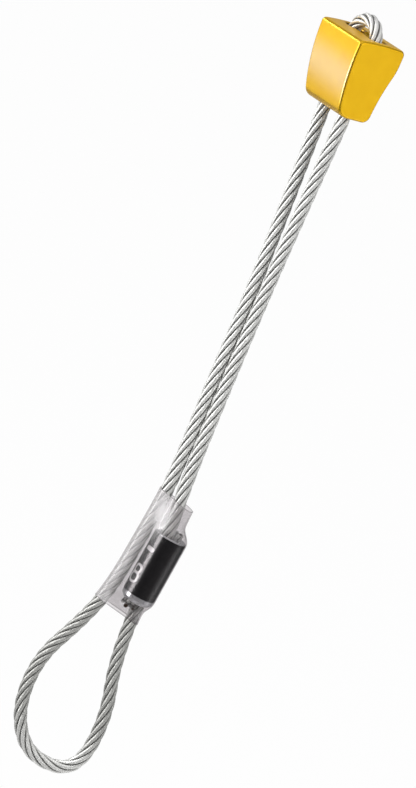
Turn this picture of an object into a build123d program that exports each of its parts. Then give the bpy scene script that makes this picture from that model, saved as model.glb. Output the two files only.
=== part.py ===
from build123d import *
import math
import os

# A wired climbing nut: a tapered, curved aluminium chock on a doubled length of wire rope.
# Millimetres. +Z runs up along the two legs of the rope, from the clip-in loop to the chock.
# The origin is midway between the chock's two bores, at half the chock's height.
# The clip-in loop and the crimp lie in the XZ plane; the chock is turned about Z.

# Wire rope
rope_d = 3.3
leg_gap = 0.1
stub_top = 1.3
stub_bottom = 0.5

# Chock
chock_w = 17.3
chock_t = 14.3
chock_h = 19.5
top_crown = 0.35
chock_turn = 50.0
end_lean = 1.5
convex_r = 47.0
convex_start = 1.5
far_land = 5.5
far_drop = 2.15
body_offset = 0.35
round_top_near = 1.1
round_top_far = 1.4
round_bottom_near = 3.0
round_bottom_far = 2.0
round_land = 15.0
round_ends = 0.75

# Bores through the chock, and the saddle that the bight beds down into
bore_clearance = 0.6
bore_spacing = 8.8
mouth_flare = 0.9
foot_flare = 0.6
saddle_depth = 1.2

# Bight of rope that stands over the chock: its height, and its spread outside the bores
bight_stand = 3.49
bight_spread = 0.22
exit_drop = 2.75

# Crimp ferrule, its printed band and the clear sleeve
ferrule_wall = 0.63
crimp_web = 0.16
ferrule_l = 18.1
ferrule_x = 3.03
ferrule_z = -121.2
ferrule_lean = 6.54
ferrule_chamfer_top = 0.25
ferrule_chamfer_bottom = 0.9
crimp_gap = 0.02
pair_turn = 56.0
band_t = 0.1
band_from_top = 0.35
band_from_bottom = 1.9
sleeve_wall = 0.25
sleeve_fit = 0.12
mouth_rise = 8.9
neck_rise = 4.0
end_drop = 3.72
heel_drop = 1.1
cut_tilt = 15.0
mouth_slack = 1.0
neck_slack = 1.2
mouth_x = 3.0
neck_x = 2.4
hump_y = -0.4
mouth_pivot_x = 0.9
end_pivot_x = -2.4
film_over_rim = 0.3
film_under_stub = 0.1

# Legs beside the crimp: how far the outer leg's skin stands off the ferrule
gap_at_ferrule_top = 0.52
gap_at_ferrule_foot = 0.85

# Straight run of rope outside each end of the crimp, and of arc at its corners
crimp_lead = 2.2
crimp_corner_run = 2.0

# Derived sizes
rope_r = rope_d / 2
bore_r = rope_r + bore_clearance
bore_half = bore_spacing / 2
crimp_bore_r = rope_r + crimp_gap
half_pair = crimp_bore_r + crimp_web / 2
ferrule_r = half_pair + crimp_bore_r + ferrule_wall
band_r = ferrule_r + band_t
top_z = chock_h / 2
crown_z = top_z + top_crown
touch = (rope_d + leg_gap) / 2
turn = math.radians(chock_turn)
lean = math.radians(ferrule_lean)
along = Vector(math.cos(turn), -math.sin(turn), 0)
across = Vector(math.sin(turn), math.cos(turn), 0)
up = Vector(0, 0, 1)

# Frame of the ferrule: its axis, and the line through the two ropes crimped in it
ferrule_axis = Vector(math.sin(lean), 0, math.cos(lean))
ferrule_side = Vector(math.cos(lean), 0, -math.sin(lean))
pair = (ferrule_side * math.cos(math.radians(pair_turn))
        + Vector(0, 1, 0) * math.sin(math.radians(pair_turn)))
ferrule_top = Vector(ferrule_x, 0, ferrule_z)
ferrule_foot = ferrule_top - ferrule_axis * ferrule_l


def over_chock(half, side, offset, z):
    """A point of the rope in the chock's own directions: side is +1 or -1."""
    return along * (side * half) + across * offset + up * z


def leg_pair(middle, half, angle, z):
    """Both legs' points at one height, either side of the middle, turned by an angle."""
    step = Vector(half * math.cos(math.radians(angle)), -half * math.sin(math.radians(angle)), 0)
    centre = Vector(middle, 0, z)
    return centre + step, centre - step


def corner_radii(points, exits):
    """Arc radius at each corner: 0.45 of the shorter run, or the short run next to the crimp."""
    radii = []
    for i in range(1, len(points) - 1):
        before = points[i - 1] - points[i]
        after = points[i + 1] - points[i]
        half_turn = math.radians(180 - before.get_angle(after)) / 2
        run = crimp_corner_run if i in exits else 0.45 * min(before.length, after.length)
        radii.append(run / math.tan(half_turn))
    return radii


# Route of the rope: out of the crimp's top, over the chock, down past the crimp, round the
# clip-in loop and up into the crimp's foot.
leg_12, other_12 = leg_pair(-0.18, touch, 14, -109.0)
leg_84, other_84 = leg_pair(-0.35, touch, 18, -84.0)
leg_56, other_56 = leg_pair(-0.05, touch, 24, -56.0)
leg_33, other_33 = leg_pair(0.0, touch + 0.92, 38, -33.0)
bight_z = top_z + bight_stand
bight_half = bore_half + bight_spread
bight_step = bight_half * math.tan(math.radians(22.5))
exit_z = -top_z - exit_drop
first_in = ferrule_top - pair * half_pair
last_in = ferrule_foot + pair * half_pair
beside_top = ferrule_top - ferrule_side * (ferrule_r + rope_r + gap_at_ferrule_top) + Vector(0, 0.15, 0)
beside_foot = ferrule_foot - ferrule_side * (ferrule_r + rope_r + gap_at_ferrule_foot)
route_points = [
    first_in - ferrule_axis * (ferrule_l + stub_bottom),
    first_in + ferrule_axis * crimp_lead,
    leg_12,
    leg_84,
    leg_56,
    leg_33,
    over_chock(bore_half - 0.2, 1, 0.2, exit_z),
    over_chock(bore_half - 0.1, 1, 0.05, -3.0),
    over_chock(bight_half, 1, -0.2, bight_z - bight_half - bight_step),
    over_chock(bight_half, 1, -0.2, bight_z - bight_half + bight_step),
    over_chock(bight_step, 1, -0.2, bight_z),
    over_chock(bight_step, -1, -0.2, bight_z),
    over_chock(bight_half, -1, -0.2, bight_z - bight_half + bight_step),
    over_chock(bight_half, -1, -0.2, bight_z - bight_half - bight_step),
    over_chock(bore_half - 0.1, -1, 0.05, -3.0),
    over_chock(bore_half - 0.2, -1, 0.2, exit_z),
    other_33,
    other_56,
    other_84,
    other_12,
    beside_top,
    beside_foot,
    Vector(-9.5, 0.0, -150.0),
    Vector(-15.5, 0.0, -161.2),
    Vector(-15.2, 0.1, -174.2),
    Vector(-10.0, 0.2, -183.2),
    Vector(-1.0, 0.3, -184.6),
    Vector(4.3, 0.5, -179.6),
    Vector(4.8, 0.7, -167.6),
    Vector(2.4, 1.0, -157.3),
    last_in - ferrule_axis * crimp_lead,
    last_in + ferrule_axis * (ferrule_l + stub_top),
]
crimp_corners = (1, len(route_points) - 2)
radii = corner_radii(route_points, crimp_corners)
print("rope corner radii:", [round(r, 1) for r in radii])

os.makedirs("parts", exist_ok=True)

# Wire rope: one plain tube along the whole route
with BuildPart() as wire_rope:
    with BuildLine() as route:
        FilletPolyline(*route_points, radius=radii)
    rope_path = route.wire()
    with BuildSketch(Plane(origin=rope_path @ 0, z_dir=rope_path % 0)):
        Circle(rope_r)
    sweep(path=rope_path)
wire_rope.part.label = "wire_rope"
section_volume = math.pi * rope_r ** 2 * rope_path.length
print("rope length %.1f, volume %.1f of %.1f" % (
    rope_path.length, wire_rope.part.volume, section_volume))
export_step(wire_rope.part, "parts/wire_rope.step")

# Chock: the curved wedge profile, drawn across the bores and run along the line through them
near_x = -body_offset - chock_t / 2
far_x = -body_offset + chock_t / 2
convex_run = chock_h - convex_start
convex_in = convex_r - math.sqrt(convex_r ** 2 - convex_run ** 2)
foot_near = (near_x + convex_in, -top_z)
foot_far = (far_x - far_drop, -top_z)
land_end = (far_x, top_z - far_land)
convex_end = (near_x, top_z - convex_start)
corner_rounds = [
    ((near_x, top_z), round_top_near),
    ((far_x, top_z), round_top_far),
    (land_end, round_land),
    (foot_far, round_bottom_far),
    (foot_near, round_bottom_near),
]
profile_plane = Plane(origin=(0, 0, 0), x_dir=across, z_dir=along)

with BuildPart() as chock_head:
    with BuildSketch(profile_plane) as profile:
        with BuildLine():
            Line(convex_end, (near_x, top_z))
            ThreePointArc((near_x, top_z), (-body_offset, crown_z), (far_x, top_z))
            Line((far_x, top_z), land_end)
            TangentArc(foot_far, land_end, tangent=(0, 1))
            Line(foot_far, foot_near)
            TangentArc(convex_end, foot_near, tangent=(0, -1))
        make_face()
        for corner, radius in corner_rounds:
            fillet(profile.vertices().sort_by_distance(corner)[0], radius)
    extrude(amount=chock_w, both=True)
    # End faces lean in towards the foot
    for side in (1, -1):
        end_normal = (along * (side * math.cos(math.radians(end_lean)))
                      - up * math.sin(math.radians(end_lean)))
        end_point = along * (side * chock_w / 2) + up * top_z
        split(bisect_by=Plane(origin=end_point, z_dir=end_normal), keep=Keep.BOTTOM)
    by_length = chock_head.faces().sort_by(Axis((0, 0, 0), along))
    fillet(by_length[0].edges() + by_length[-1].edges(), round_ends)
    # Bores with rounded mouths
    for side in (1, -1):
        bore_centre = along * (side * bore_half)
        with BuildSketch(Plane(origin=bore_centre, x_dir=along, z_dir=-across)):
            with BuildLine():
                Polyline(
                    (bore_r + mouth_flare, crown_z),
                    (bore_r + mouth_flare, crown_z + 1),
                    (0, crown_z + 1),
                    (0, -top_z - 1),
                    (bore_r + foot_flare, -top_z - 1),
                    (bore_r + foot_flare, -top_z),
                )
                TangentArc((bore_r, -top_z + foot_flare), (bore_r + foot_flare, -top_z),
                           tangent=(0, -1))
                Line((bore_r, -top_z + foot_flare), (bore_r, crown_z - mouth_flare))
                TangentArc((bore_r, crown_z - mouth_flare), (bore_r + mouth_flare, crown_z),
                           tangent=(0, 1))
            make_face()
        revolve(axis=Axis(bore_centre, up), mode=Mode.SUBTRACT)
    # Saddle between the two mouths
    with BuildSketch(profile_plane.offset(-bore_half)):
        with Locations((0, crown_z - saddle_depth + bore_r)):
            Circle(bore_r)
    extrude(amount=bore_spacing, mode=Mode.SUBTRACT)
chock_head.part.label = "chock_head"
export_step(chock_head.part, "parts/chock_head.step")

# Crimp ferrule: a round barrel swaged over two passes of the rope
ferrule_plane = Plane(origin=ferrule_foot, x_dir=pair, z_dir=ferrule_axis)

with BuildPart() as crimp_ferrule:
    with BuildSketch(ferrule_plane):
        Circle(ferrule_r)
    extrude(amount=ferrule_l)
    rims = crimp_ferrule.edges().filter_by(GeomType.CIRCLE).sort_by(Axis(ferrule_foot, ferrule_axis))
    chamfer(rims[-1], ferrule_chamfer_top)
    chamfer(rims[0], ferrule_chamfer_bottom)
    with BuildSketch(ferrule_plane):
        with Locations((-half_pair, 0), (half_pair, 0)):
            Circle(crimp_bore_r)
    extrude(amount=ferrule_l, mode=Mode.SUBTRACT)
crimp_ferrule.part.label = "crimp_ferrule"
export_step(crimp_ferrule.part, "parts/crimp_ferrule.step")

# Printed band round the ferrule
band_l = ferrule_l - band_from_top - band_from_bottom

with BuildPart() as label_band:
    with BuildSketch(ferrule_plane.offset(band_from_bottom)):
        Circle(band_r)
        Circle(ferrule_r, mode=Mode.SUBTRACT)
    extrude(amount=band_l)
label_band.part.label = "label_band"
export_step(label_band.part, "parts/label_band.step")

# Clear sleeve: shrunk film over the ferrule and the leg beside it, stretched between the two
samples = [i / 400 for i in range(401)]
at_bight = max(samples, key=lambda u: (rope_path @ u).Z)
at_loop = min(samples, key=lambda u: (rope_path @ u).Z)


def crossing(plane, low, high):
    """Where the rope's centre line crosses a plane, between two places along it."""
    start = (rope_path @ low - plane.origin).dot(plane.z_dir)
    for _ in range(40):
        middle = (low + high) / 2
        if (rope_path @ middle - plane.origin).dot(plane.z_dir) * start > 0:
            low = middle
        else:
            high = middle
    return rope_path @ low


def film_outline(plane, left, right, left_r, right_r):
    """Three points on each end's arc, for a film stretched round two circles in a plane."""
    a, b = (Vector(spot.X, spot.Y, 0) for spot in map(plane.to_local_coords, (left, right)))
    reach = (b - a).normalized()
    square = Vector(-reach.Y, reach.X, 0)
    angle = math.acos((left_r - right_r) / (b - a).length)
    rise = reach * math.cos(angle) + square * math.sin(angle)
    fall = reach * math.cos(angle) - square * math.sin(angle)
    left_arc = [a + step * left_r for step in (fall, -reach, rise)]
    right_arc = [b + step * right_r for step in (rise, reach, fall)]
    return left_arc, right_arc


def tilted(x, z, tilt):
    """A plane facing up the rope, its right-hand side dropped by a tilt."""
    angle = math.radians(tilt)
    return Plane(
        origin=(x, 0, z),
        x_dir=(math.cos(angle), 0, -math.sin(angle)),
        z_dir=(math.sin(angle), 0, math.cos(angle)),
    )


def on_ferrule(height):
    """A plane square to the ferrule, at a height above its foot."""
    origin = ferrule_foot + ferrule_axis * height
    return tilted(origin.X, origin.Z, ferrule_lean)


ferrule_skin = band_r + sleeve_fit
rope_skin = rope_r + sleeve_fit
mouth_z = ferrule_z + mouth_rise
neck_z = ferrule_z + neck_rise
mouth_plane = tilted(mouth_pivot_x, mouth_z, cut_tilt)
neck_plane = tilted(0.0, neck_z, (cut_tilt + ferrule_lean) / 2)
heel_plane = on_ferrule(-stub_bottom - heel_drop)
end_plane = tilted(end_pivot_x, ferrule_foot.Z - end_drop, cut_tilt)
film_stations = [
    (mouth_plane, Vector(mouth_x, hump_y, mouth_z), rope_skin + mouth_slack),
    (neck_plane, Vector(neck_x, hump_y, neck_z), rope_skin + neck_slack),
]
for height, skin in (
    (ferrule_l + film_over_rim, ferrule_skin),
    (ferrule_l / 2, ferrule_skin),
    (ferrule_chamfer_bottom, ferrule_skin),
    (-stub_bottom - film_under_stub, half_pair + rope_skin),
):
    film_stations.append((on_ferrule(height), ferrule_foot + ferrule_axis * height, skin))
for plane in (heel_plane, end_plane):
    film_stations.append((plane, crossing(plane, at_loop, 1.0), rope_skin))

with BuildPart() as clear_sleeve:
    for wall, mode in ((sleeve_wall, Mode.ADD), (0.0, Mode.SUBTRACT)):
        for plane, right, right_r in film_stations:
            left = crossing(plane, at_bight, at_loop)
            left_arc, right_arc = film_outline(plane, left, right, rope_skin + wall, right_r + wall)
            with BuildSketch(plane):
                with BuildLine():
                    Line(left_arc[2], right_arc[0])
                    ThreePointArc(*right_arc)
                    Line(right_arc[2], left_arc[0])
                    ThreePointArc(*left_arc)
                make_face()
        loft(ruled=True, mode=mode)
clear_sleeve.part.label = "clear_sleeve"
export_step(clear_sleeve.part, "parts/clear_sleeve.step")
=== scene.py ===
"""A wired climbing nut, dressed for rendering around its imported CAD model.

The chock is threaded on a doubled wire rope. The rope's ends are crimped in a labelled ferrule
under a clear sleeve, below which the rope stands out in a clip-in loop. Lengths are metres, in
the part's own frame: +Z up the rope's legs, the origin midway between the chock's bores.
"""

import logging
import math
from dataclasses import dataclass, field
from enum import Enum

import bpy
import numpy as np
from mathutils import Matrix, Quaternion, Vector
from mathutils.kdtree import KDTree


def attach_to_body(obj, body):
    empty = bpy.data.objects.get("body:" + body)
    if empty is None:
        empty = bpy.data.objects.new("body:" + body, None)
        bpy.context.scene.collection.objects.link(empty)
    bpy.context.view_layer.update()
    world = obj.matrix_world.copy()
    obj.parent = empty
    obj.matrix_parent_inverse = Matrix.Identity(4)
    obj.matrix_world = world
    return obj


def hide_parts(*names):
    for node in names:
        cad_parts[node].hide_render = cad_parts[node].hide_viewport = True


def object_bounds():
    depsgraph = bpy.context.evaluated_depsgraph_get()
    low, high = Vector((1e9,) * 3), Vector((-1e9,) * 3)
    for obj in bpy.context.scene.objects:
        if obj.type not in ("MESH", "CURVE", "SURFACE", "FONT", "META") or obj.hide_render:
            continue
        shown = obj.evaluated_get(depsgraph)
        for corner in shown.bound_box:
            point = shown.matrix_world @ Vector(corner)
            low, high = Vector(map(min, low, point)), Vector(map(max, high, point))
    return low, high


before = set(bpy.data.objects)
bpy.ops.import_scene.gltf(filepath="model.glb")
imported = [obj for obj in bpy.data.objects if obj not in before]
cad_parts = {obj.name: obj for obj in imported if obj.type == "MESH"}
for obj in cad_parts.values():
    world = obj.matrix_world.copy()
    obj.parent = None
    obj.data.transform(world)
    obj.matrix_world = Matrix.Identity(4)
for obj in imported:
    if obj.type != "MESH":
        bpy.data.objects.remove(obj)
CAD_LOW, CAD_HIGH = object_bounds()

log = logging.getLogger("wired_nut")
BAKE_MAP = "OFBake"
SAME_POINT = 1e-9

Colour = tuple[float, float, float]
Span = tuple[float, float]

# The chock's bores stand apart ALONG a line turned about Z. ACROSS it points to the concave face.
TURN = math.radians(50)
ALONG = Vector((math.cos(TURN), -math.sin(TURN), 0))
ACROSS = Vector((math.sin(TURN), math.cos(TURN), 0))
BORE_HALF = 0.0044


class Body(Enum):
    """What a piece rides on."""

    HEAD = "head"
    WIRE = "wire"


class Slot(Enum):
    """The part's material slots."""

    GOLD = "anodised_gold"
    STEEL = "stranded_steel"
    CRIMP = "plated_crimp"
    LABEL = "black_label"
    FILM = "clear_film"


# ---------------------------------------------------------------- shader maths


class Value:
    """A shader socket that takes part in Python arithmetic, one Math node for each step."""

    def __init__(self, graph: "Graph", socket: bpy.types.NodeSocket) -> None:
        """Wraps an output socket of a graph."""
        self.graph = graph
        self.socket = socket

    def __add__(self, other: "Value | float") -> "Value":
        """This value plus another."""
        return self.graph.math("ADD", self, other)

    def __radd__(self, other: float) -> "Value":
        """A number plus this value."""
        return self.graph.math("ADD", other, self)

    def __sub__(self, other: "Value | float") -> "Value":
        """This value less another."""
        return self.graph.math("SUBTRACT", self, other)

    def __rsub__(self, other: float) -> "Value":
        """A number less this value."""
        return self.graph.math("SUBTRACT", other, self)

    def __mul__(self, other: "Value | float") -> "Value":
        """This value times another."""
        return self.graph.math("MULTIPLY", self, other)

    def __rmul__(self, other: float) -> "Value":
        """A number times this value."""
        return self.graph.math("MULTIPLY", other, self)

    def __truediv__(self, other: "Value | float") -> "Value":
        """This value over another."""
        return self.graph.math("DIVIDE", self, other)

    def __pow__(self, other: float) -> "Value":
        """This value to a power."""
        return self.graph.math("POWER", self, other)

    def __abs__(self) -> "Value":
        """This value without its sign."""
        return self.graph.math("ABSOLUTE", self, 0.0)

    def clamped(self) -> "Value":
        """This value held between 0 and 1."""
        return self.graph.math("MAXIMUM", self.graph.math("MINIMUM", self, 1.0), 0.0)

    def span(self, low: float, high: float) -> "Value":
        """This value's smooth rise from 0 at low to 1 at high."""
        limits = {"Value": self, "From Min": low, "From Max": high}
        return self.graph.value("Result", "ShaderNodeMapRange", limits, interpolation_type="SMOOTHSTEP")


Input = Value | float | tuple[float, ...]


class Graph:
    """One material's node tree, built by expressions."""

    def __init__(self, name: str, owner: bpy.types.ID | None = None) -> None:
        """Starts an empty tree, in a new material or in another owner of nodes.

        Args:
            name: The material's name.
            owner: What holds the tree instead of a new material.
        """
        self.material = owner or bpy.data.materials.new(name)
        self.material.use_nodes = True
        self.tree = self.material.node_tree
        self.tree.nodes.clear()

    def node(self, kind: str, inputs: dict | None = None, **settings: str) -> bpy.types.Node:
        """Adds any node.

        Args:
            kind: The node's type name.
            inputs: Socket names or numbers, each with a value or a link.
            settings: Properties to set before the inputs.

        Returns:
            The new node.
        """
        made = self.tree.nodes.new(kind)
        for key, setting in settings.items():
            setattr(made, key, setting)
        for key, value in (inputs or {}).items():
            socket = made.inputs[key]
            if isinstance(value, Value):
                self.tree.links.new(value.socket, socket)
            else:
                socket.default_value = value
        return made

    def value(self, output: int | str, kind: str, inputs: dict | None = None, **settings: str) -> Value:
        """Adds a node, as node() does, and gives one of its outputs."""
        return Value(self, self.node(kind, inputs, **settings).outputs[output])

    def math(self, operation: str, a: Input, b: Input) -> Value:
        """One step of arithmetic on numbers."""
        return self.value(0, "ShaderNodeMath", {0: a, 1: b}, operation=operation)

    def vector(self, operation: str, a: Input, b: Input, output: str = "Vector") -> Value:
        """One step of arithmetic on vectors, which gives a Vector or a Value."""
        return self.value(output, "ShaderNodeVectorMath", {0: a, 1: b}, operation=operation)

    def vary(self, level: Value | float, noise: Value, swing: float) -> Value:
        """A level that a noise swings either way."""
        return level + (noise - 0.5) * swing

    def mix(self, factor: Input, a: Value | Colour, b: Value | Colour) -> Value:
        """Mixes two colours: a factor of 0 gives the first, 1 the second."""
        first, second = (end if isinstance(end, Value) else (*end, 1.0) for end in (a, b))
        return self.value(2, "ShaderNodeMix", {0: factor, 6: first, 7: second}, data_type="RGBA")

    def grey(self, level: Value) -> Value:
        """The grey of a level, from black at 0 to white at 1."""
        return self.mix(level, (0.0, 0.0, 0.0), (1.0, 1.0, 1.0))

    def coordinates(self, kind: str) -> Value:
        """One of the texture coordinates."""
        return self.value(kind, "ShaderNodeTexCoord")

    def place(self, scale: tuple[float, float, float] = (1, 1, 1)) -> Value:
        """The point on the part, in metres, stretched by a factor along each axis."""
        return self.vector("MULTIPLY", self.coordinates("Object"), scale)

    def axes(self, vector: Value) -> list[Value]:
        """The X, Y and Z of a vector."""
        parts = self.node("ShaderNodeSeparateXYZ", {0: vector}).outputs
        return [Value(self, parts[axis]) for axis in "XYZ"]

    def noise(self, where: Value, size: float, detail: float = 3.0, rough: float = 0.5) -> Value:
        """Noise around 0.5, its grains of a size in metres, with octaves of finer grain."""
        grain = {"Vector": where, "Scale": 1.0 / size, "Detail": detail, "Roughness": rough}
        return self.value("Fac", "ShaderNodeTexNoise", grain)

    def attribute(self, name: str) -> Value:
        """A number stored on the mesh."""
        return self.value("Fac", "ShaderNodeAttribute", attribute_name=name)

    def bump(self, height: Value, depth: float, strength: float) -> Value:
        """A surface normal from a height, which is a share of a depth in metres."""
        relief = {"Height": height, "Distance": depth, "Strength": strength}
        return self.value("Normal", "ShaderNodeBump", relief)

    def blend(self, factor: Input, a: Value, b: Value) -> Value:
        """Mixes two shaders: a factor of 0 shows the first, 1 the second."""
        return self.value(0, "ShaderNodeMixShader", {0: factor, 1: a, 2: b})

    def ended(self, shader: Value) -> bpy.types.Material:
        """Ends the tree in a shader, and gives the finished material."""
        self.node("ShaderNodeOutputMaterial", {"Surface": shader})
        return self.material

    def surface(self, inputs: dict[str, Input]) -> bpy.types.Material:
        """Ends the tree in one principled surface, and gives the finished material."""
        return self.ended(self.value(0, "ShaderNodeBsdfPrincipled", inputs))


# ---------------------------------------------------------------- finishes


@dataclass(frozen=True)
class AnodisedGold:
    """Satin gold anodising over bead-blasted aluminium, rubbed smooth at its edges and belly, with
    painted shade round the bore mouths.
    """

    colour: Colour = (0.91, 0.553, 0.014)
    deep: Colour = (0.84, 0.48, 0.009)
    bore_shade_colour: Colour = (0.30, 0.13, 0.01)
    cloud_size: float = 0.004
    cloud_low: float = 0.3
    cloud_gain: float = 1.2
    grain: float = 0.00022
    grain_depth: float = 0.00003
    mottle: float = 0.16
    metal: float = 0.6
    edge_metal: float = 0.25
    roughness: float = 0.38
    edge_roughness: float = 0.2
    on_face: Span = (0.80, 0.95)
    coat: float = 0.05
    coat_roughness: float = 0.22
    coat_ior: float = 3.1
    faces_out: Span = (0.5, 0.85)
    belly: float = -0.0001
    off_belly: Span = (0.0002, 0.0080)
    # The painted shade round the bore mouths: how far from each bore's middle it fades, and its
    # strength.
    mouth: Span = (0.0019, 0.0031)
    bore_shade: float = 0.8

    def edges(self, graph: Graph) -> Value:
        """1 on the rounded edges, 0 on the faces.

        Args:
            graph: The graph to build in.

        Returns:
            The value.
        """
        normal = graph.coordinates("Normal")
        along, across, upward = (
            abs(graph.vector("DOT_PRODUCT", normal, side, "Value"))
            for side in (ALONG, ACROSS, Vector((0, 0, 1)))
        )
        flat = graph.math("MAXIMUM", graph.math("MAXIMUM", along, across), upward)
        return 1 - flat.span(*self.on_face)

    def rub(self, graph: Graph) -> Value:
        """1 along the belly of the convex face, 0 on the other faces.

        Args:
            graph: The graph to build in.

        Returns:
            The value.
        """
        out = graph.vector("DOT_PRODUCT", graph.coordinates("Normal"), -ACROSS, "Value")
        off = abs(graph.axes(graph.place())[2] - self.belly)
        return out.span(*self.faces_out) * (1 - off.span(*self.off_belly))

    def material(self) -> bpy.types.Material:
        """The finish as a material.

        Returns:
            The new material.
        """
        graph = Graph("anodised_gold")
        blast = graph.noise(graph.place(), self.grain, 4.0, 0.6)
        cloud = graph.noise(graph.place(), self.cloud_size, 2.0)
        clean = graph.mix(((cloud - self.cloud_low) * self.cloud_gain).clamped(), self.deep, self.colour)
        # Painted shade: the colour darkens round the bore mouths, where shade falls into the bores.
        plan = graph.place((1, 1, 0))
        left, right = (
            graph.vector("DISTANCE", plan, ALONG * (side * BORE_HALF), "Value") for side in (-1, 1)
        )
        bore_shade = 1 - graph.math("MINIMUM", left, right).span(*self.mouth)
        edge = self.edges(graph)
        smooth = self.roughness - edge * (self.roughness - self.edge_roughness)
        return graph.surface({
            "Base Color": graph.mix(bore_shade * self.bore_shade, clean, self.bore_shade_colour),
            "Metallic": self.metal + edge * self.edge_metal,
            "Roughness": graph.vary(smooth, blast, self.mottle),
            "Coat Weight": self.coat + self.rub(graph) * (1 - self.coat),
            "Coat Roughness": self.coat_roughness,
            "Coat IOR": self.coat_ior,
            "Normal": graph.bump(blast, self.grain_depth, 0.2),
        })


@dataclass(frozen=True)
class DrawnSteel:
    """Bright drawn wire, with painted shade in the grooves between strands and wires, and painted shade
    darkening the rope down into the loop, fading out again so the loop's foot stays bright.
    """

    colour: Colour = (0.84, 0.84, 0.82)
    # Painted shade darkening the rope from the lower legs into the loop: its colour, the drops below the
    # origin where it comes in, and where it fades out so the loop's foot stays bright.
    loop_shade: Colour = (0.50, 0.50, 0.48)
    loop_shade_from: Span = (0.09, 0.15)
    loop_shade_fades: Span = (0.171, 0.184)
    # The colour of the painted shade in the grooves between strands and wires.
    groove: Colour = (0.13, 0.13, 0.125)
    streak_size: float = 0.0006
    streaks: float = 0.3
    metal: float = 0.72
    roughness: float = 0.48

    def material(self) -> bpy.types.Material:
        """The finish as a material.

        Returns:
            The new material.
        """
        graph = Graph("drawn_steel")
        streak = graph.noise(graph.place((1, 1, 0.15)), self.streak_size)
        # Painted shade: the lighting stored on the strands mixes the groove colour up to the bright
        # steel.
        shade = graph.vary(graph.attribute("painted_lighting"), streak, self.streaks).clamped()
        # Painted shade: the rope darkens downward into the loop and is bright again at the loop's foot.
        drop = 0 - graph.axes(graph.place())[2]
        loop_shade = drop.span(*self.loop_shade_from) * (1 - drop.span(*self.loop_shade_fades))
        bright = graph.mix(loop_shade, self.colour, self.loop_shade)
        return graph.surface({
            "Base Color": graph.mix(shade, self.groove, bright),
            "Metallic": self.metal,
            "Roughness": self.roughness,
        })


@dataclass(frozen=True)
class BurntSteel:
    """Wire ends browned where they were cut."""

    colour: Colour = (0.035, 0.022, 0.016)
    bright: Colour = (0.6, 0.58, 0.55)
    patch_size: float = 0.0009
    bright_from: Span = (0.56, 0.72)
    metal: float = 0.7
    roughness: float = 0.4
    mottle: float = 0.3

    def material(self) -> bpy.types.Material:
        """The finish as a material.

        Returns:
            The new material.
        """
        graph = Graph("burnt_steel")
        patch = graph.noise(graph.place(), self.patch_size)
        return graph.surface({
            "Base Color": graph.mix(patch.span(*self.bright_from), self.colour, self.bright),
            "Metallic": self.metal,
            "Roughness": graph.vary(self.roughness, patch, self.mottle),
        })


@dataclass(frozen=True)
class PlatedCrimp:
    """Bright plating, with fine lines round the barrel left by the swaging die."""

    colour: Colour = (0.88, 0.90, 0.92)
    dim: float = 0.85
    line_size: float = 0.00012
    line_depth: float = 0.00002
    metal: float = 0.76
    roughness: float = 0.2
    mottle: float = 0.2

    def material(self) -> bpy.types.Material:
        """The finish as a material.

        Returns:
            The new material.
        """
        graph = Graph("plated_crimp")
        lines = graph.noise(graph.place((0.2, 0.2, 1)), self.line_size)
        return graph.surface({
            "Base Color": graph.mix(lines, tuple(c * self.dim for c in self.colour), self.colour),
            "Metallic": self.metal,
            "Roughness": graph.vary(self.roughness, lines, self.mottle),
            "Normal": graph.bump(lines, self.line_depth, 0.1),
        })


@dataclass(frozen=True)
class GlossInk:
    """A gloss print: the black of the label's ground, or the white of its marks."""

    name: str
    colour: Colour
    dim: float = 0.8
    mottle_size: float = 0.0012
    roughness: float = 0.2
    mottle: float = 0.08
    ior: float = 2.6

    def material(self) -> bpy.types.Material:
        """The finish as a material.

        Returns:
            The new material.
        """
        graph = Graph(self.name)
        mottle = graph.noise(graph.place(), self.mottle_size)
        return graph.surface({
            "Base Color": graph.mix(mottle, tuple(c * self.dim for c in self.colour), self.colour),
            "Roughness": graph.vary(self.roughness, mottle, self.mottle),
            "IOR": self.ior,
        })


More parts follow.
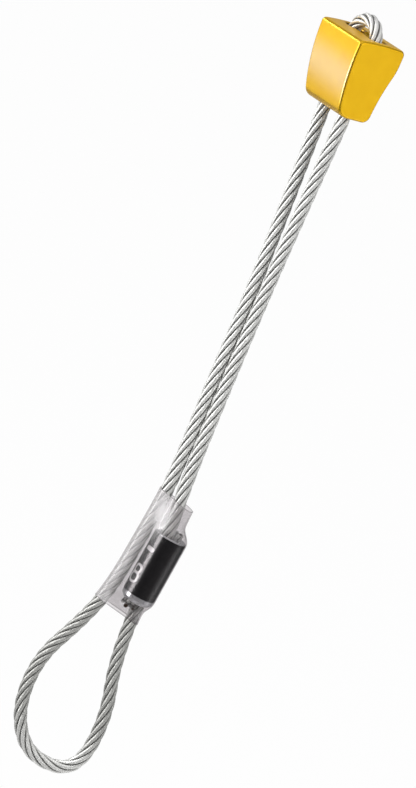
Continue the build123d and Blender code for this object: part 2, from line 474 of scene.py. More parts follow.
@dataclass(frozen=True)
class ClearFilm:
    """Clear shrink film: it mirrors at a slant, is milky where it clings, and has a painted highlight as
    a milky patch on the web above the ferrule.
    """

    tint: Colour = (0.865, 0.853, 0.858)
    rim: Colour = (0.50, 0.48, 0.49)
    rim_from: Span = (0.88, 1.0)
    cut_rim: float = 0.8
    haze: Colour = (0.88, 0.87, 0.875)
    milk: float = 0.03
    cling_milk: float = 0.14
    cloud_milk: float = 0.08
    # Milk of the painted highlight on the web above the ferrule.
    painted_highlight_milk: float = 0.28
    cloud_size: float = 0.0022
    ripple_size: float = 0.0016
    ripple_depth: float = 0.0002
    mirror: float = 0.05
    slant_mirror: float = 0.6
    slant_power: float = 5
    roughness: float = 0.26

    def material(self) -> bpy.types.Material:
        """The finish as a material.

        Returns:
            The new material.
        """
        graph = Graph("clear_film")
        free, cling, painted_highlight, cut = (
            graph.attribute(name) for name in ("free", "cling", "painted_highlight", "cut")
        )
        cloud = graph.noise(graph.place((1, 1, 0.5)), self.cloud_size)
        ripple = graph.noise(graph.place((1, 1, 0.3)), self.ripple_size, 2.0)
        normal = graph.bump(ripple, self.ripple_depth, 0.25)
        slant = graph.value("Facing", "ShaderNodeLayerWeight", {"Blend": 0.5, "Normal": normal})
        mirror = self.mirror + self.slant_mirror * slant ** self.slant_power
        clung = graph.vary(self.milk + cling * self.cling_milk, cloud, self.cloud_milk)
        # The painted highlight adds milk in a patch on the web above the ferrule.
        milk = (free * clung + painted_highlight * self.painted_highlight_milk).clamped()
        cover = mirror + milk * (1 - mirror)
        share = mirror / cover
        clear, thick = (
            graph.value(0, "ShaderNodeBsdfTransparent", {"Color": (*colour, 1.0)})
            for colour in (self.tint, self.rim)
        )
        depth = graph.math("MAXIMUM", slant.span(*self.rim_from), cut * self.cut_rim)
        skin = graph.value(0, "ShaderNodeBsdfPrincipled", {
            "Base Color": graph.mix(share, self.haze, (1.0, 1.0, 1.0)),
            "Metallic": share,
            "Roughness": self.roughness,
            "Normal": normal,
        })
        return graph.ended(graph.blend(cover, graph.blend(depth, clear, thick), skin))


# ---------------------------------------------------------------- lines and meshes


@dataclass(frozen=True)
class Line:
    """Evenly spaced points along a line in space, with a frame at each that doesn't twist."""

    centres: np.ndarray
    normals: np.ndarray
    binormals: np.ndarray
    along: np.ndarray

    @property
    def length(self) -> float:
        """The line's length."""
        return float(self.along[-1])


def unit(vectors: np.ndarray) -> np.ndarray:
    """Each row of an array, scaled to length 1."""
    return vectors / np.linalg.norm(vectors, axis=-1, keepdims=True)


def full_turn(count: int) -> np.ndarray:
    """Angles evenly spaced round a circle."""
    return np.arange(count) / count * 2 * math.pi


def ramp(values: np.ndarray, low: float, high: float) -> np.ndarray:
    """Each value's straight rise from 0 at low to 1 at high."""
    return np.clip((values - low) / (high - low), 0, 1)


def distances(points: np.ndarray) -> np.ndarray:
    """How far along a line each of its points lies."""
    return np.concatenate(([0.0], np.cumsum(np.linalg.norm(np.diff(points, axis=0), axis=1))))


def read_at(spots: np.ndarray, along: np.ndarray, rows: np.ndarray) -> np.ndarray:
    """Rows of numbers known at some places along a line, read at other places."""
    return np.stack([np.interp(spots, along, column) for column in rows.T], axis=1)


def corners_of(mesh: bpy.types.Mesh) -> np.ndarray:
    """A mesh's points.

    Args:
        mesh: The mesh.

    Returns:
        The points, one row each.
    """
    found = np.zeros(len(mesh.vertices) * 3)
    mesh.vertices.foreach_get("co", found)
    return found.reshape(-1, 3)


def spline_points(route: list[Vector], resolution: int = 48) -> np.ndarray:
    """Points of the smooth spline that a route's points control.

    Args:
        route: The control points.
        resolution: Points in each span.

    Returns:
        The points, one row each.
    """
    data = bpy.data.curves.new("route", "CURVE")
    data.dimensions = "3D"
    spline = data.splines.new("NURBS")
    spline.points.add(len(route) - 1)
    for point, place in zip(spline.points, route):
        point.co = (*place, 1.0)
    spline.order_u = 3
    spline.use_endpoint_u = True
    spline.resolution_u = resolution
    holder = bpy.data.objects.new("route", data)
    mesh = bpy.data.meshes.new_from_object(holder)
    found = corners_of(mesh)
    bpy.data.objects.remove(holder)
    bpy.data.curves.remove(data)
    bpy.data.meshes.remove(mesh)
    return found


def even_line(points: np.ndarray, step: float) -> Line:
    """Spaces points evenly along a line and carries a frame along it without twist.

    Args:
        points: The line's points.
        step: Spacing wanted between the new points.

    Returns:
        The evenly spaced line.
    """
    points = points[np.diff(distances(points), prepend=-1.0) > SAME_POINT]
    along = distances(points)
    count = max(2, round(along[-1] / step) + 1)
    spots = np.linspace(0, along[-1], count)
    centres = read_at(spots, along, points)
    tangents = unit(np.gradient(centres, axis=0))
    normal = np.cross(tangents[0], (0.0, 1.0, 0.0))
    normals = [normal / np.linalg.norm(normal)]
    for i in range(1, count):
        reflect = centres[i] - centres[i - 1]
        square = reflect @ reflect
        carried = normals[-1] - 2 / square * (reflect @ normals[-1]) * reflect
        tangent = tangents[i - 1] - 2 / square * (reflect @ tangents[i - 1]) * reflect
        second = tangents[i] - tangent
        if second @ second > 1e-18:
            carried = carried - 2 / (second @ second) * (second @ carried) * second
        carried = carried - (carried @ tangents[i]) * tangents[i]
        normals.append(carried / np.linalg.norm(carried))
    normals = np.array(normals)
    return Line(centres, normals, np.cross(tangents, normals), spots)


def round_rings(line: Line, radius: float | np.ndarray, count: int) -> np.ndarray:
    """Round rings of points along a line.

    Args:
        line: The line.
        radius: The rings' radius, or one for each ring.
        count: How many points are in each ring.

    Returns:
        An array of rings x points x 3.
    """
    turn = full_turn(count)[None, :, None]
    beside = np.cos(turn) * line.normals[:, None, :] + np.sin(turn) * line.binormals[:, None, :]
    return line.centres[:, None, :] + radius * beside


def add(name: str, data: bpy.types.ID) -> bpy.types.Object:
    """Puts a new object in the scene.

    Args:
        name: The object's name.
        data: Its mesh, camera or lamp.

    Returns:
        The new object.
    """
    made = bpy.data.objects.new(name, data)
    bpy.context.scene.collection.objects.link(made)
    return made


def link(name: str, mesh: bpy.types.Mesh, finish: bpy.types.Material) -> bpy.types.Object:
    """Puts a mesh in the scene as a named piece with a finish.

    Args:
        name: The piece's name.
        mesh: Its mesh.
        finish: Its material.

    Returns:
        The new object.
    """
    mesh.materials.clear()
    mesh.materials.append(finish)
    return add(name, mesh)


def smooth(mesh: bpy.types.Mesh) -> None:
    """Shades every face of a mesh smooth."""
    mesh.polygons.foreach_set("use_smooth", np.ones(len(mesh.polygons), bool))


def loop_mesh(name: str, rings: np.ndarray, closed: bool = True) -> bpy.types.Mesh:
    """A skin through rings of points.

    Args:
        name: The mesh's name.
        rings: Points, ring by ring, as an array of rings x points x 3.
        closed: Whether the last ring joins the first, or else has a flat end, as the first has.

    Returns:
        The mesh. The flat ends are its last two faces.
    """
    index = np.arange(rings.shape[0] * rings.shape[1]).reshape(rings.shape[:2])
    ahead = np.roll(index, -1, axis=0)
    quads = np.stack([index, np.roll(index, -1, axis=1), np.roll(ahead, -1, axis=1), ahead], axis=-1)
    if closed:
        faces = quads.reshape(-1, 4).tolist()
    else:
        faces = quads[:-1].reshape(-1, 4).tolist() + [index[0][::-1].tolist(), index[-1].tolist()]
    mesh = bpy.data.meshes.new(name)
    mesh.from_pydata(rings.reshape(-1, 3).tolist(), [], faces)
    return mesh


def tube_mesh(name: str, rings: np.ndarray, columns: int) -> bpy.types.Mesh:
    """A closed tube through rings of points, with its map cut into columns side by side.

    Args:
        name: The mesh's name.
        rings: Points, ring by ring, as an array of rings x points x 3.
        columns: How many columns the tube's length is laid out in.

    Returns:
        The mesh, smooth but for its flat ends.
    """
    width, height, cap_radius, cap_places = 0.9, 0.96, 0.01, ((0.02, 0.98), (0.05, 0.98))
    mesh = loop_mesh(name, rings, closed=False)
    shade = np.ones(len(mesh.polygons), bool)
    shade[-2:] = False
    mesh.polygons.foreach_set("use_smooth", shade)

    spans, around = rings.shape[0] - 1, rings.shape[1]
    per_column = math.ceil(spans / columns)
    ring, side = np.divmod(np.arange(spans * around), around)
    column, row = np.divmod(ring, per_column)
    left, right = ((column + edge / around * width) / columns for edge in (side, side + 1))
    low, high = (edge / per_column * height for edge in (row, row + 1))
    u = np.stack([left, right, right, left], axis=-1).ravel()
    v = np.stack([low, low, high, high], axis=-1).ravel()
    turn = full_turn(around)
    cap = np.stack([cap_radius * np.cos(turn), cap_radius * np.sin(turn)], axis=-1)
    caps = [cap[::-1] + cap_places[0], cap + cap_places[1]]
    layer = mesh.uv_layers.new(name=BAKE_MAP)
    layer.data.foreach_set("uv", np.concatenate([np.stack([u, v], axis=-1), *caps]).ravel())
    return mesh


def set_number(mesh: bpy.types.Mesh, name: str, values: np.ndarray) -> None:
    """Stores one number for each vertex of a mesh, in vertex order."""
    store = mesh.attributes.new(name, "FLOAT", "POINT")
    store.data.foreach_set("value", values.astype(np.float32).ravel())


def attach(piece: bpy.types.Object, body: Body) -> None:
    """Sets what a piece rides on.

    Args:
        piece: The piece.
        body: The body that carries it.
    """
    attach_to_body(piece, body.value)
    log.info("%s: %d faces", piece.name, len(piece.data.polygons))


# ---------------------------------------------------------------- sub-assemblies


@dataclass
class Chock:
    """The tapered aluminium head."""

    height: float = 0.0195
    half_length: float = 0.0080
    core_half: float = 0.0023
    face_half: float = 0.0050
    fullness: float = 0.0011
    finish: AnodisedGold = field(default_factory=AnodisedGold)

    def build(self) -> None:
        """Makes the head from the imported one, its convex face fuller at the foot of the near end."""
        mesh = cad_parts["chock_head"].data.copy()
        points, across = corners_of(mesh), np.array(ACROSS)
        near = ramp(points @ np.array(ALONG), -self.half_length, self.half_length)
        proud = ramp(-(points @ across), self.core_half, self.face_half)
        low = ramp(-points[:, 2], -self.height / 2, self.height / 2) ** 2
        shift = self.fullness * near * proud * low
        mesh.vertices.foreach_set("co", (points - shift[:, None] * across).ravel())
        mesh.update()
        smooth(mesh)
        piece = link("chock_body", mesh, self.finish.material())
        attach(piece, Body.HEAD)
        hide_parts("chock_head")


@dataclass(frozen=True)
class Mark:
    """One printed stroke that closes in a rounded oval.

    Its centre is a height above the ferrule's foot, and its turn an angle left of the front. Its
    lift keeps strokes that cross from sharing a face. A squareness of 2 makes it an ellipse.
    """

    name: str
    centre: float
    width: float
    height: float
    turn: float
    lift: float = 0.0
    squareness: float = 2.6


@dataclass(frozen=True)
class CutWire:
    """One wire at the rope's cut end: how far it stands to the side and back, and its sizes."""

    beside: float
    depth: float
    length: float
    radius: float


@dataclass
class Crimp:
    """The ferrule on the rope's two ends, with its printed label and the cut end below it."""

    radius: float = 0.00405
    length: float = 0.0181
    top: Vector = field(default_factory=lambda: Vector((0.00303, 0, -0.1212)))
    lean: float = math.radians(6.54)
    pair_turn: float = math.radians(56)
    half_pair: float = 0.00175
    band: float = 0.0001
    mark_relief: float = 0.00003
    mark_sink: float = 0.00001
    mark_points: int = 72
    stroke: float = 0.0006
    marks: tuple[Mark, ...] = (
        Mark("numeral_upper", 0.00790, 0.0022, 0.0020, math.radians(53.4)),
        Mark("numeral_lower", 0.00570, 0.0026, 0.0024, math.radians(53.4), lift=0.000004),
        Mark("label_bar", 0.0136, 0.0022, 0.00052, math.radians(48), squareness=4.0),
    )
    cut_wires: tuple[CutWire, ...] = (
        CutWire(-0.0013, 0.0002, 0.0017, 0.0005),
        CutWire(-0.0004, -0.0004, 0.0023, 0.00056),
        CutWire(0.00045, 0.0004, 0.0019, 0.00052),
        CutWire(0.00115, -0.0001, 0.0022, 0.0005),
        CutWire(-0.0002, 0.0009, 0.0022, 0.0005),
    )
    wire_root: float = 0.001
    wire_shift: float = -0.0001
    root_spread: float = 0.7
    tip_spread: float = 1.3
    mid_back: float = 0.0005
    tip_back: float = 0.0009
    mid_drop: float = 0.4
    wire_points: int = 14
    wire_step: float = 0.00012
    tip_blunt: float = 0.02
    plating: PlatedCrimp = field(default_factory=PlatedCrimp)
    ground: GlossInk = field(default_factory=lambda: GlossInk("label_black", (0.002, 0.002, 0.003)))
    ink: GlossInk = field(default_factory=lambda: GlossInk("label_white", (0.88, 0.88, 0.88)))
    burnt: BurntSteel = field(default_factory=BurntSteel)

    @property
    def axis(self) -> Vector:
        """Direction from the ferrule's foot to its top."""
        return Vector((math.sin(self.lean), 0, math.cos(self.lean)))

    @property
    def side(self) -> Vector:
        """Direction square to the ferrule, away from the leg beside it."""
        return Vector((math.cos(self.lean), 0, -math.sin(self.lean)))

    @property
    def pair(self) -> Vector:
        """Direction from one crimped rope to the other."""
        depth = Vector((0, math.sin(self.pair_turn), 0))
        return self.side * math.cos(self.pair_turn) + depth

    @property
    def foot(self) -> Vector:
        """Centre of the ferrule's lower face."""
        return self.top - self.axis * self.length

    def dress(self) -> None:
        """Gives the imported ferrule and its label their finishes."""
        for name, finish in (("crimp_ferrule", self.plating), ("label_band", self.ground)):
            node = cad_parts[name]
            node.data.materials.clear()
            node.data.materials.append(finish.material())
            log.info("%s: finished", name)

    def on_band(self, across: np.ndarray, height: np.ndarray, out: float, turn: float) -> np.ndarray:
        """Points wrapped on the label.

        Args:
            across: Distances round the label from the middle of a mark.
            height: Heights above the ferrule's foot.
            out: Distance out from the label's skin.
            turn: Where the mark's middle is, as an angle left of the front.

        Returns:
            The points, one row each.
        """
        radius = self.radius + self.band
        angle = across / radius - turn
        front = np.array((0.0, -1.0, 0.0))
        level = (radius + out) * (
            np.sin(angle)[:, None] * np.array(self.side) + np.cos(angle)[:, None] * front
        )
        return np.array(self.foot) + level + height[:, None] * np.array(self.axis)

    def stroke_rings(self, mark: Mark) -> np.ndarray:
        """The skin of one printed mark.

        Args:
            mark: The mark.

        Returns:
            Rings of points along its stroke, as an array of rings x points x 3.
        """
        step, power = full_turn(self.mark_points), 2 / mark.squareness
        path = np.stack([
            np.sign(wave) * np.abs(wave) ** power * size / 2
            for wave, size in ((np.cos(step), mark.width), (np.sin(step), mark.height))
        ], axis=1)
        run = unit(np.roll(path, -1, axis=0) - np.roll(path, 1, axis=0))
        square = np.stack([run[:, 1], -run[:, 0]], axis=1) * self.stroke / 2
        raised, sunk = self.mark_relief + mark.lift, -self.mark_sink
        rims = []
        for edge, out in ((1, sunk), (1, raised), (-1, raised), (-1, sunk)):
            spot = path + square * edge
            rims.append(self.on_band(spot[:, 0], mark.centre + spot[:, 1], out, mark.turn))
        return np.stack(rims, axis=1)

    def print_marks(self) -> None:
        """Prints the size numeral and a plain bar on the label."""
        ink = self.ink.material()
        for mark in self.marks:
            mesh = loop_mesh(mark.name, self.stroke_rings(mark))
            attach(link(mark.name, mesh, ink), Body.WIRE)

    def wire_ends(self) -> None:
        """Leaves the cut end of the rope standing out under the ferrule as splayed wires."""
        finish = self.burnt.material()
        first = self.foot - self.pair * self.half_pair
        back, shift = Vector((0, 1, 0)), self.side * self.wire_shift
        for number, wire in enumerate(self.cut_wires, 1):
            aside = self.side * wire.beside
            root = first + aside * self.root_spread + back * wire.depth + self.axis * self.wire_root
            mid = first + aside + back * (wire.depth + self.mid_back) + shift
            tip = first + aside * self.tip_spread + back * (wire.depth + self.tip_back) + shift
            bend = [root, mid - self.axis * (wire.length * self.mid_drop), tip - self.axis * wire.length]
            line = even_line(spline_points(bend, 12), self.wire_step)
            close = ramp(line.length - line.along, 0, wire.radius)
            girth = wire.radius * np.sqrt(np.maximum(1 - (1 - close) ** 2, self.tip_blunt))
            name = f"wire_end_{number}"
            rings = round_rings(line, girth[:, None, None], self.wire_points)
            attach(link(name, tube_mesh(name, rings, 1), finish), Body.WIRE)

    def build(self) -> None:
        """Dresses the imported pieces, then makes the marks and the wire ends."""
        self.dress()
        self.print_marks()
        self.wire_ends()


@dataclass(frozen=True)
class LegPair:
    """Where both legs pass one height: X midway, each one's slack, and their turn about Z."""

    middle: float
    slack: float
    degrees: float
    height: float


@dataclass
class WireRope:
    """Six strands laid right-handed round a core strand, each strand of laid wires."""

    chock: Chock
    crimp: Crimp
    diameter: float = 0.0033
    strands: int = 6
    lay_places: tuple[float, ...] = (0.150, 0.200, 0.285, 0.300, 0.340, 0.350)
    lays: tuple[float, ...] = (0.0225, 0.0235, 0.0235, 0.0195, 0.0190, 0.0210)
    strand_radius: float = 0.00056
    press: float = 0.985
    least_width: float = 0.0001
    wires: int = 6
    wire_lay: float = 0.0085
    wire_points: int = 6
    wire_relief: float = 0.08
    # How much painted shade darkens the gaps between wires, and the facing over which painted shade
    # fills the grooves between strands.
    wire_shade: float = 0.18
    faces_out: Span = (0.05, 0.80)
    core_points: int = 12
    map_columns: int = 11
    step: float = 0.0003
    leg_gap: float = 0.0001
    stub_top: float = 0.0013
    stub_foot: float = 0.0005
    lead: float = 0.0022
    grip: float = 0.008
    beside_top_gap: float = 0.00052
    beside_foot_gap: float = 0.00085
    beside_depth: float = 0.00015
    bight_stand: float = 0.00349
    bight_spread: float = 0.00022
    bight_offset: float = -0.0002
    exit_drop: float = 0.00275
    legs: tuple[LegPair, ...] = (
        LegPair(-0.00018, 0.0, 14, -0.109),
        LegPair(-0.00035, 0.0, 18, -0.084),
        LegPair(-0.00005, 0.0, 24, -0.056),
        LegPair(0.0, 0.00092, 38, -0.033),
    )
    loop: tuple[tuple[float, float, float], ...] = (
        (-0.00941, 0.0, -0.14895), (-0.01537, 0.0, -0.16092),
        (-0.01542, 0.0001, -0.17407), (-0.01000, 0.0002, -0.18325),
        (-0.00060, 0.0003, -0.18475), (0.00428, 0.0005, -0.18005),
        (0.00507, 0.0007, -0.16757), (0.00222, 0.0010, -0.15600),
    )
    finish: DrawnSteel = field(default_factory=DrawnSteel)

    def leg_points(self, side: int) -> list[Vector]:
        """One leg's points, from the crimp up.

        Args:
            side: +1 for the right leg, -1 for the left one.

        Returns:
            The points.
        """
        touch = (self.diameter + self.leg_gap) / 2
        found = []
        for pair in self.legs:
            half, turn = touch + pair.slack, math.radians(pair.degrees)
            step = Vector((half * math.cos(turn), -half * math.sin(turn), 0))
            found.append(Vector((pair.middle, 0, pair.height)) + step * side)
        return found

    def chock_points(self, side: int) -> list[Vector]:
        """One leg's points up through its bore and on to the middle of the bight.

        Args:
            side: +1 for the right leg, -1 for the left one.

        Returns:
            The points.
        """
        chock = self.chock
        top = chock.height / 2 + self.bight_stand
        half = BORE_HALF + self.bight_spread
        corner = half * math.tan(math.pi / 8)
        rise = (
            (BORE_HALF - 0.0002, 0.0002, -chock.height / 2 - self.exit_drop),
            (BORE_HALF - 0.0001, 0.00005, -0.003),
            (half, self.bight_offset, top - half - corner),
            (half, self.bight_offset, top - half + corner),
            (corner, self.bight_offset, top),
        )
        return [
            ALONG * (side * reach) + ACROSS * offset + Vector((0, 0, height))
            for reach, offset, height in rise
        ]

    def route(self) -> list[Vector]:
        """The rope's control points: crimp, chock, past the crimp, clip-in loop, crimp.

        Returns:
            The points, from one end of the rope to the other.
        """
        crimp, axis = self.crimp, self.crimp.axis
        first = crimp.top - crimp.pair * crimp.half_pair
        last = crimp.foot + crimp.pair * crimp.half_pair
        stand_off = crimp.radius + self.diameter / 2
        beside_top = crimp.top - crimp.side * (stand_off + self.beside_top_gap)
        beside_foot = crimp.foot - crimp.side * (stand_off + self.beside_foot_gap)
        return [
            first - axis * (crimp.length + self.stub_foot),
            first - axis * self.grip,
            first + axis * self.lead,
            *self.leg_points(1),
            *self.chock_points(1),
            *self.chock_points(-1)[::-1],
            *self.leg_points(-1)[::-1],
            beside_top + Vector((0, self.beside_depth, 0)),
            beside_foot,
            *(Vector(spot) for spot in self.loop),
            last - axis * self.lead,
            last + axis * self.grip,
            last + axis * (crimp.length + self.stub_top),
        ]

    def strand_rings(self, line: Line, number: int) -> tuple[np.ndarray, np.ndarray]:
        """The points of one outer strand's skin.

        Args:
            line: The rope's middle line.
            number: Which strand, from 0.

        Returns:
            Rings of points, and the painted lighting at each: 1 on the crests of strand and wire, less
            where painted shade darkens the grooves between them.
        """
        helix = self.diameter / 2 - self.strand_radius
        turns = np.diff(line.along, prepend=0) / np.interp(line.along, self.lay_places, self.lays)
        phase = 2 * math.pi * (np.cumsum(turns) + number / self.strands)
        radial = np.cos(phase)[:, None] * line.normals + np.sin(phase)[:, None] * line.binormals
        centres = line.centres + helix * radial
        tangents = unit(np.gradient(centres, axis=0))
        outward = unit(radial - np.sum(radial * tangents, axis=1)[:, None] * tangents)
        beside = np.cross(tangents, outward)

        count = self.wires * self.wire_points
        share = math.sin(math.pi / self.wires)
        wire_radius = self.strand_radius * share / (1 + share)
        pitch = self.strand_radius - wire_radius
        off = (np.arange(count) % self.wire_points) / self.wire_points - 0.5
        lean = off * 2 * math.pi / self.wires
        skin = pitch * np.cos(lean) + np.sqrt(
            np.maximum(wire_radius ** 2 - (pitch * np.sin(lean)) ** 2, 0)
        )
        radius = self.strand_radius + (skin - self.strand_radius) * self.wire_relief
        angle = full_turn(count)[None, :] - 2 * math.pi * line.along[:, None] / self.wire_lay
        rise = radius * np.cos(angle)
        room = np.maximum(helix + rise, self.least_width)
        limit = room * math.tan(math.pi / self.strands) * self.press
        swing = np.clip(radius * np.sin(angle), -limit, limit)
        rings = (
            centres[:, None, :]
            + rise[:, :, None] * outward[:, None, :]
            + swing[:, :, None] * beside[:, None, :]
        )
        # Painted shade: darker where the strand's skin turns in towards the rope's core, in the grooves
        # between strands, and a little between its wires.
        facing = ramp(np.cos(angle), *self.faces_out)
        wire_crest = np.cos(off * 2 * math.pi) * 0.5 + 0.5
        painted_lighting = (1 - self.wire_shade * (1 - wire_crest)) * facing * facing * (3 - 2 * facing)
        return rings, painted_lighting

    def build(self) -> Line:
        """Makes the strands and the core, riding on the wire.

        Returns:
            The rope's middle line.
        """
        finish = self.finish.material()
        line = even_line(spline_points(self.route()), self.step)
        skins = {
            f"rope_strand_{number + 1}": self.strand_rings(line, number)
            for number in range(self.strands)
        }
        core_radius = self.diameter / 2 - 2 * self.strand_radius
        core = round_rings(even_line(line.centres, self.step * 3), core_radius, self.core_points)
        # The core, hidden inside, takes the full painted shade.
        skins["rope_core"] = core, np.zeros(core.shape[:2])
        pieces = []
        for name, (rings, painted_lighting) in skins.items():
            mesh = tube_mesh(name, rings, self.map_columns)
            set_number(mesh, "painted_lighting", painted_lighting)
            pieces.append(link(name, mesh, finish))
        for piece in pieces:
            attach(piece, Body.WIRE)
        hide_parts("wire_rope")
        log.info("rope length %.1f mm", line.length * 1000)
        return line


@dataclass(frozen=True)
class Station:
    """One slice across the film: a slanted plane, and the round it is stretched over at right."""

    x: float
    z: float
    tilt: float
    right: Vector
    radius: float


@dataclass
class Sleeve:
    """The clear shrink film over the ferrule and the leg beside it."""

    crimp: Crimp
    rope: Line
    rope_radius: float = 0.00165
    outer_from: float = 0.45
    fit: float = 0.00005
    band_fit: float = 0.00002
    wall: float = 0.00018
    mouth_rise: float = 0.0089
    neck_rise: float = 0.0040
    end_drop: float = 0.00372
    heel_drop: float = 0.0016
    cut_tilt: float = math.radians(15)
    mouth_slack: float = 0.0010
    neck_slack: float = 0.0012
    groove: float = 0.0009
    groove_width: float = 0.0011
    groove_gap: float = 0.0003
    groove_from: Span = (0.0004, 0.0024)
    # The painted highlight on the web above the ferrule: its middle and size.
    painted_highlight: Vector = field(default_factory=lambda: Vector((-0.0010, 0, -0.1166)))
    painted_highlight_width: float = 0.0016
    painted_highlight_height: float = 0.0040
    free_from: Span = (0.0006, 0.0015)
    cling_reach: float = 0.0006
    around: int = 160
    rays: int = 720
    step: float = 0.00022
    easing: int = 9
    finish: ClearFilm = field(default_factory=ClearFilm)

    def crossing(self, x: float, z: float, tilt: float, rising: bool) -> Vector:
        """Where the outer leg, or the rope rising to the crimp, meets a slanted plane.

        Args:
            x: X of a point on the plane.
            z: Z of that point.
            tilt: How far the plane drops to the right.
            rising: Whether the rope rising to the crimp is meant.

        Returns:
            The point.
        """
        lowest = int(np.argmin(self.rope.centres[:, 2]))
        start = int(len(self.rope.centres) * self.outer_from)
        spots = self.rope.centres[lowest:] if rising else self.rope.centres[start:lowest]
        off = (spots[:, 0] - x) * math.sin(tilt) + (spots[:, 2] - z) * math.cos(tilt)
        return Vector(spots[int(np.argmin(np.abs(off)))])

    def stations(self) -> list[Station]:
        """The film's main slices.

        Returns:
            The slices, from its mouth down to its end.
        """
        crimp, tilt, foot = self.crimp, self.crimp.lean, self.crimp.foot
        skin = self.rope_radius + self.fit
        barrel = crimp.radius + crimp.band + self.fit + self.band_fit
        mouth_z, neck_z = crimp.top.z + self.mouth_rise, crimp.top.z + self.neck_rise
        found = [
            Station(0.0009, mouth_z, self.cut_tilt, Vector((0.0030, -0.0004, mouth_z)),
                    skin + self.mouth_slack),
            Station(0.0, neck_z, (self.cut_tilt + tilt) / 2, Vector((0.0024, -0.0004, neck_z)),
                    skin + self.neck_slack),
        ]
        for height, radius in (
            (crimp.length + 0.0003, barrel), (crimp.length / 2, barrel), (0.0009, barrel),
            (-0.0006, crimp.half_pair + skin),
        ):
            spot = foot + crimp.axis * height
            found.append(Station(spot.x, spot.z, tilt, spot, radius))
        heel = foot - crimp.axis * self.heel_drop
        for x, z, slope in (
            (heel.x, heel.z, tilt), (-0.0024, foot.z - self.end_drop, self.cut_tilt),
        ):
            found.append(Station(x, z, slope, self.crossing(x, z, slope, True), skin))
        return found

    def slices(self) -> np.ndarray:
        """Fine slices between the stations, with their corners eased.

        Returns:
            One row for each slice: plane x and z, tilt, right x, y and z, radius.
        """
        rows = np.array([(s.x, s.z, s.tilt, *s.right, s.radius) for s in self.stations()])
        drop, reach = distances(rows[:, 1:2]), self.easing
        fine = read_at(np.linspace(0, drop[-1], round(drop[-1] / self.step) + 1), drop, rows)
        weight = np.exp(-np.linspace(-2, 2, 2 * reach + 1) ** 2)
        weight /= weight.sum()
        ends = [2 * fine[0] - fine[reach:0:-1], fine, 2 * fine[-1] - fine[-2:-reach - 2:-1]]
        padded = np.concatenate(ends)
        return np.stack([np.convolve(column, weight, "valid") for column in padded.T], axis=1)

    def outline(self, row: np.ndarray, grow: float) -> np.ndarray:
        """The film stretched round both rounds of one slice.

        Args:
            row: The slice.
            grow: Thickness added outside the inner skin.

        Returns:
            Evenly spaced points, counted from the far left.
        """
        x, z, tilt, *right, radius = row
        origin = np.array((x, 0.0, z))
        reach = np.array((math.cos(tilt), 0.0, -math.sin(tilt)))
        left = np.array(self.crossing(x, z, tilt, False))
        middles = []
        for spot in (left, np.array(right)):
            off = spot - origin
            middles.append((float(off @ reach), float(off[1])))
        turn = math.pi + full_turn(self.rays)
        ray = np.stack([np.cos(turn), np.sin(turn)], axis=1)
        radii = (self.rope_radius + self.fit + grow, radius + grow)
        far = [ray @ np.array(spot) + size for spot, size in zip(middles, radii)]
        rings = [np.array(spot) + ray * size for spot, size in zip(middles, radii)]
        shape = np.where((far[0] > far[1])[:, None], rings[0], rings[1])
        closed = np.vstack([shape, shape[:1]])
        along = distances(closed)
        flat = read_at(np.arange(self.around) / self.around * along[-1], along, closed)
        points = origin + flat[:, :1] * reach + flat[:, 1:] * np.array((0.0, 1.0, 0.0))
        rise = ramp(z - self.crimp.top.z, *self.groove_from)
        middle = left[0] + self.rope_radius + self.groove_gap
        dip = self.groove * rise * np.exp(-((points[:, 0] - middle) / self.groove_width) ** 2)
        points[:, 1] -= np.sign(points[:, 1]) * dip
        return points

    def paint(self, mesh: bpy.types.Mesh, rings: np.ndarray) -> None:
        """Stores where the film stands free, clings to the leg, carries its painted highlight, and is
        cut.

        Args:
            mesh: The film's mesh.
            rings: Its points: the outer skin from the mouth down, then the inner skin back up.
        """
        crimp, painted_highlight, axis = self.crimp, self.painted_highlight, np.array(self.crimp.axis)
        points = rings.reshape(-1, 3)
        off = points - np.array(crimp.foot)
        height = off @ axis
        away = np.linalg.norm(off - height[:, None] * axis, axis=1) - crimp.radius
        past = np.maximum(np.maximum(height - crimp.length, -height), 0)
        set_number(mesh, "free", ramp(np.hypot(np.maximum(away, 0), past), *self.free_from))
        tree = KDTree(len(self.rope.centres))
        for index, spot in enumerate(self.rope.centres):
            tree.insert(spot, index)
        tree.balance()
        apart = np.array([tree.find(spot)[2] for spot in points])
        skin = self.rope_radius + self.fit + self.wall
        cling = 1 - ramp(apart, skin, skin + self.cling_reach)
        set_number(mesh, "cling", (points[:, 0] < painted_highlight.x) * cling)
        # A painted highlight on the front of the web above the ferrule, fading out from its middle.
        aside = (points[:, 0] - painted_highlight.x) / self.painted_highlight_width
        above = (points[:, 2] - painted_highlight.z) / self.painted_highlight_height
        set_number(mesh, "painted_highlight", (points[:, 1] < 0) * np.exp(-aside ** 2 - above ** 2))
        cut, half = np.zeros(rings.shape[:2]), len(rings) // 2
        cut[[0, half - 1, half, -1]] = 1
        set_number(mesh, "cut", cut)

    def build(self) -> None:
        """Makes the film, riding on the wire."""
        rows = self.slices()
        outer, inner = (
            np.stack([self.outline(row, grow) for row in rows]) for grow in (self.wall, 0.0)
        )
        rings = np.concatenate([outer, inner[::-1]])
        mesh = loop_mesh("clear_film", rings)
        smooth(mesh)
        self.paint(mesh, rings)
        piece = link("clear_film", mesh, self.finish.material())
        attach(piece, Body.WIRE)
        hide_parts("clear_sleeve")


# ---------------------------------------------------------------- studio


@dataclass(frozen=True)
class Lamp:
    """A soft rectangular lamp that faces the part, placed from the part's middle."""

    name: str
    place: tuple[float, float, float]
    size: Span
    watts: float
    mirrored: bool = True


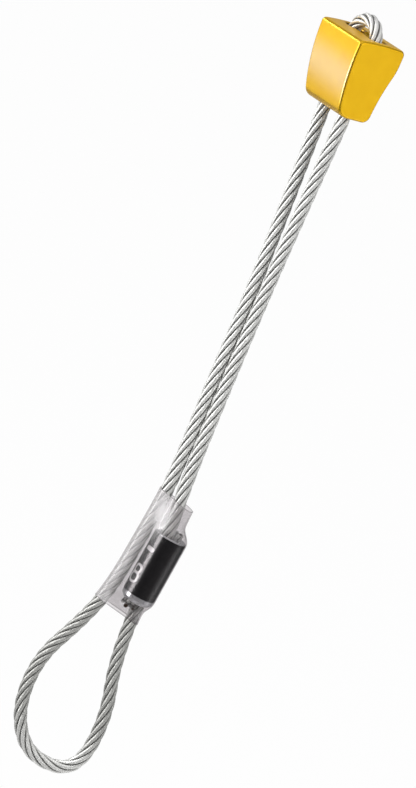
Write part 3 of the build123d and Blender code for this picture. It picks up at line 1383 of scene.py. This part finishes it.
@dataclass
class Studio:
    """Pale floor, soft lamps, and a long lens looking slightly down on the part."""

    aim: Vector = field(default_factory=lambda: Vector((-0.00192, 0, -0.08558)))
    elevation: float = math.radians(10.2)
    roll: float = math.radians(22.5)
    distance: float = 4.2
    field_height: float = 0.1891
    sensor: float = 36.0
    clip: Span = (0.1, 30.0)
    floor_drop: float = 0.12
    floor_reach: float = 4.0
    floor_colour: Colour = (0.9, 0.9, 0.9)
    plain_share: float = 0.97
    ambient: float = 0.42
    side_level: float = 0.60
    below: Span = (0.18, 0.45)
    front: Span = (0.05, 0.65)
    front_top: Span = (0.12, 0.5)
    front_turn: float = 0.35
    front_dim: float = 0.98
    right: Span = (0.2, 0.8)
    right_dim: float = 0.40
    rear: Span = (-0.1, 0.5)
    rear_dim: float = 0.2
    corner: Span = (0.7, 0.96)
    corner_dim: float = 0.6
    left: Span = (0.0, 0.5)
    left_foot: Span = (0.4, 0.9)
    left_dim: float = 0.8
    lamps: tuple[Lamp, ...] = (
        Lamp("key", (-0.464, -0.187, 0.02), (0.24, 0.55), 2.05),
        Lamp("bounce", (-0.43, 0.11, -0.08), (0.14, 0.12), 0.03),
        Lamp("brow", (-0.43, 0.12, 0.25), (0.16, 0.10), 0.45),
        Lamp("fill", (0.6, -0.6, 0.3), (0.5, 0.5), 12.8, mirrored=False),
        Lamp("top", (0.0, 0.1, 0.9), (0.6, 0.6), 1.8, mirrored=False),
    )

    def camera(self) -> None:
        """Sets up the camera."""
        data = bpy.data.cameras.new("camera")
        data.sensor_width = self.sensor
        data.lens = self.sensor * self.distance / self.field_height
        data.clip_start, data.clip_end = self.clip
        holder = add("camera", data)
        back = Vector((0, -math.cos(self.elevation), math.sin(self.elevation)))
        holder.location = self.aim + back * self.distance
        holder.rotation_mode = "QUATERNION"
        rolled = Quaternion((0, 0, 1), self.roll)
        holder.rotation_quaternion = (-back).to_track_quat("-Z", "Y") @ rolled
        bpy.context.scene.camera = holder

    def hang(self, lamp: Lamp) -> None:
        """Hangs one lamp.

        Args:
            lamp: The lamp.
        """
        data = bpy.data.lights.new(lamp.name, "AREA")
        data.shape = "RECTANGLE"
        data.size, data.size_y = lamp.size
        data.energy = lamp.watts
        holder, place = add(lamp.name, data), Vector(lamp.place)
        holder.location = self.aim + place
        holder.rotation_mode = "QUATERNION"
        holder.rotation_quaternion = (-place).to_track_quat("-Z", "Y")
        holder.visible_camera = False
        holder.visible_glossy = lamp.mirrored

    def mirrored(self, graph: Graph, way: Value) -> Value:
        """How bright the studio looks in the part's gloss: dark at the front and dim at the right.

        Args:
            graph: The graph to build in.
            way: Direction away from the part.

        Returns:
            The brightness.
        """
        x, y, z = graph.axes(way)
        above = 1 - (0 - z).span(*self.below)
        turned = x.span(0.0, 1.0) * above * self.front_turn - y
        front = turned.span(*self.front) * (1 - z.span(*self.front_top))
        right = x.span(*self.right) * above
        corner = (x * 0.7 + y * 0.7).span(*self.corner)
        left = (0 - x).span(*self.left) * (0 - z).span(*self.left_foot)
        level = self.side_level - right * self.right_dim - y.span(*self.rear) * self.rear_dim
        dimmed = level * (1 - corner * self.corner_dim) * (1 - left * self.left_dim)
        return dimmed * (1 - front * self.front_dim)

    def floor(self) -> None:
        """Lays the floor below the hanging part."""
        low, reach = CAD_LOW.z - self.floor_drop, self.floor_reach
        corners = [(x * reach, y * reach, low) for x, y in ((-1, -1), (1, -1), (1, 1), (-1, 1))]
        mesh = bpy.data.meshes.new("floor")
        mesh.from_pydata(corners, [], [(0, 1, 2, 3)])
        graph = Graph("pale_floor")
        camera, glossy = self.rays(graph)
        way = graph.vector("NORMALIZE", graph.vector("SUBTRACT", graph.place(), self.aim), (0, 0, 0))
        glow = camera + glossy * self.mirrored(graph, way)
        matte = graph.value(0, "ShaderNodeBsdfDiffuse", {"Color": (*self.floor_colour, 1)})
        plain = graph.value(0, "ShaderNodeEmission", {"Color": graph.grey(glow)})
        share = camera * self.plain_share + glossy * self.plain_share
        link("floor", mesh, graph.ended(graph.blend(share, matte, plain)))

    @staticmethod
    def rays(graph: Graph) -> tuple[Value, Value]:
        """Tells rays apart.

        Args:
            graph: The graph to build in.

        Returns:
            1 for rays that see the background outright, and 1 for those that gloss sends on.
        """
        path = graph.node("ShaderNodeLightPath")
        camera, glossy, through = (
            Value(graph, path.outputs[f"Is {kind} Ray"]) for kind in ("Camera", "Glossy", "Transmission")
        )
        return graph.math("MAXIMUM", camera, through), glossy

    def world(self) -> None:
        """Lights the part evenly from all round, and shows white behind it."""
        world = bpy.data.worlds.new("studio")
        graph = Graph("studio", world)
        camera, glossy = self.rays(graph)
        other = (1 - camera) * (1 - glossy)
        mirrored = self.mirrored(graph, graph.coordinates("Generated"))
        level = camera + glossy * mirrored + other * self.ambient
        sky = graph.value(0, "ShaderNodeBackground", {"Color": graph.grey(level)})
        graph.node("ShaderNodeOutputWorld", {"Surface": sky})
        bpy.context.scene.world = world

    def build(self) -> None:
        """Sets up the whole studio."""
        self.camera()
        self.floor()
        self.world()
        for lamp in self.lamps:
            self.hang(lamp)
        bpy.context.scene.view_settings.view_transform = "Standard"


def main() -> None:
    """Builds the studio and every sub-assembly in order."""
    logging.basicConfig(level=logging.INFO, format="%(name)s: %(message)s")
    Studio().build()
    chock, crimp = Chock(), Crimp()
    chock.build()
    crimp.build()
    rope = WireRope(chock, crimp).build()
    Sleeve(crimp, rope).build()


if __name__ == "__main__":
    main()
